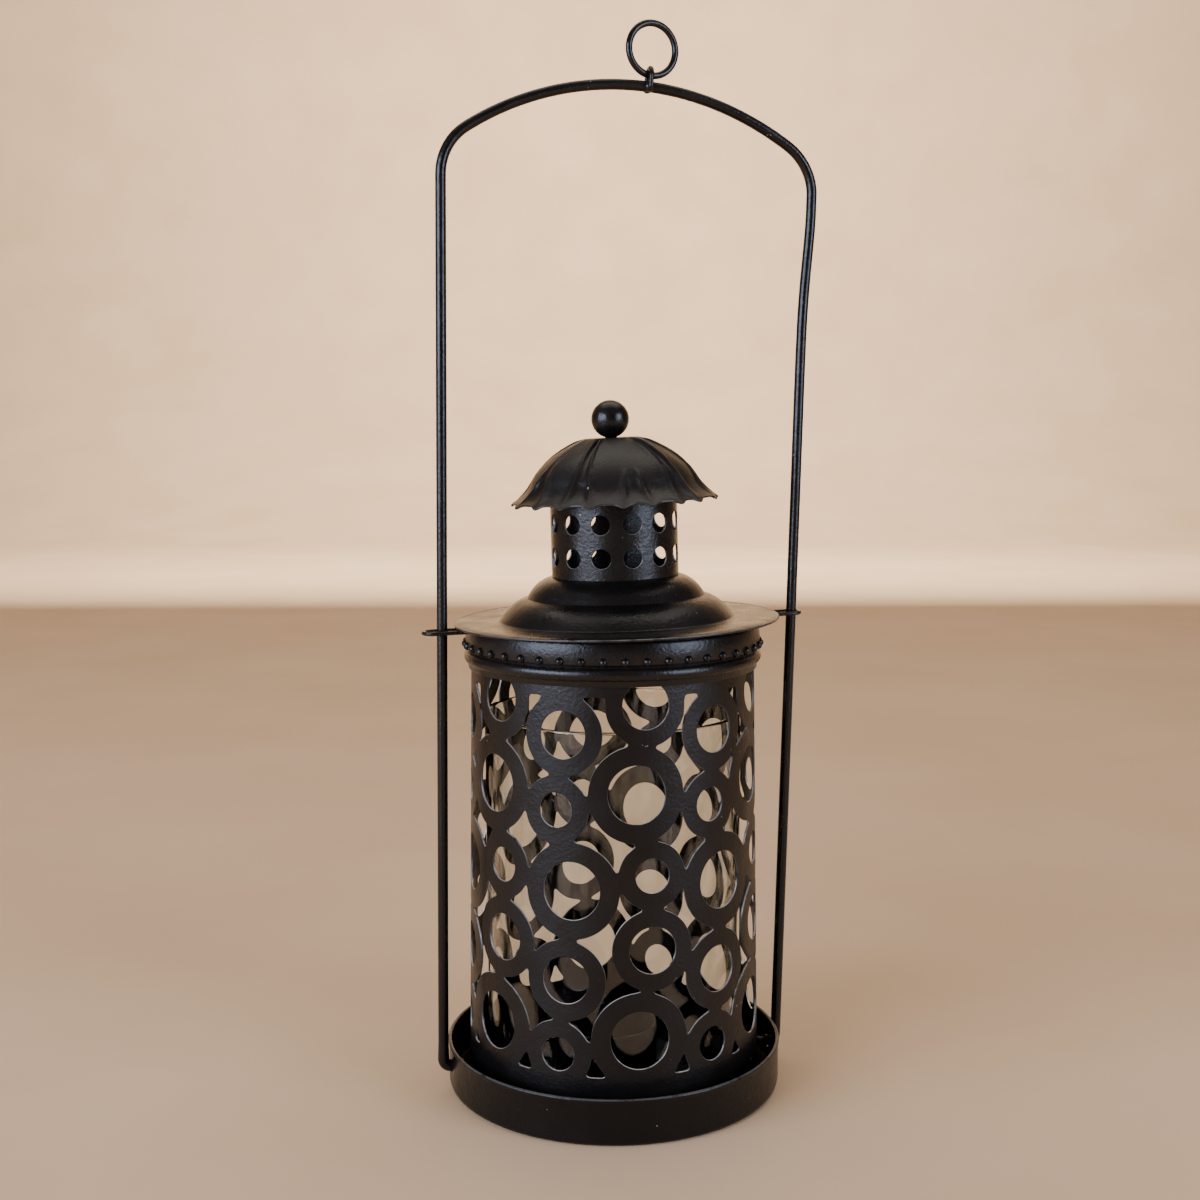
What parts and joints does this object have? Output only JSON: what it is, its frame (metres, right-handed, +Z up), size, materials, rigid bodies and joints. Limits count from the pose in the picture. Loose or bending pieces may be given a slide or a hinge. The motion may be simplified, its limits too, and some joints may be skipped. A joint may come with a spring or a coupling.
{
  "type": "candle lantern",
  "caption": "Black pierced sheet-metal candle lantern with a glass cylinder inside, a domed lid with a chimney and fluted cap, and a tall wire bail with a hanging ring.",
  "frame": {"origin": "middle of the tray's flat underside", "axes": "+Z up along the cage's axis, X along the line between the two feet of the bail"},
  "size_m": [0.1558, 0.131, 0.4076],
  "materials": {
    "tray_paint": "semi-gloss black paint",
    "cage_paint": "satin black paint, fine orange peel, thin bright lines on the cut edges",
    "lid_paint": "semi-gloss black paint",
    "wire_paint": "semi-gloss black paint",
    "cup_paint": "satin black paint",
    "clear_glass": "clear, polished"
  },
  "bodies": {
    "base": {"base_tray": "tray_paint", "pierced_cage": "cage_paint", "beaded_band": "lid_paint", "candle_cup": "cup_paint", "bail_wire": "wire_paint", "ring_eye": "wire_paint"},
    "glass": {"glass_cylinder": "clear_glass"},
    "lid": {"lid_plate": "lid_paint", "lid_skirt": "lid_paint", "eyelet_left": "wire_paint", "eyelet_right": "wire_paint", "chimney": "lid_paint", "flower_cap": "lid_paint", "finial_stem": "wire_paint", "finial_ball": "wire_paint"},
    "hanger": {"hanging_ring": "wire_paint"}
  },
  "joints": [
    {"name": "lid_slide", "type": "slide", "parent": "base", "child": "lid", "axis": [0.03, 0, 0.9996], "range_m": [0, 0.11]},
    {"name": "glass_lift", "type": "slide", "parent": "base", "child": "glass", "axis": [0, 0, 1], "range_m": [0, 0.0255]},
    {"name": "ring_swing", "type": "hinge", "parent": "base", "child": "hanger", "pos_m": [0.016, 0, 0.38716], "axis": [0.9848, 0.1736, 0], "range_deg": [-100, 100]}
  ]
}
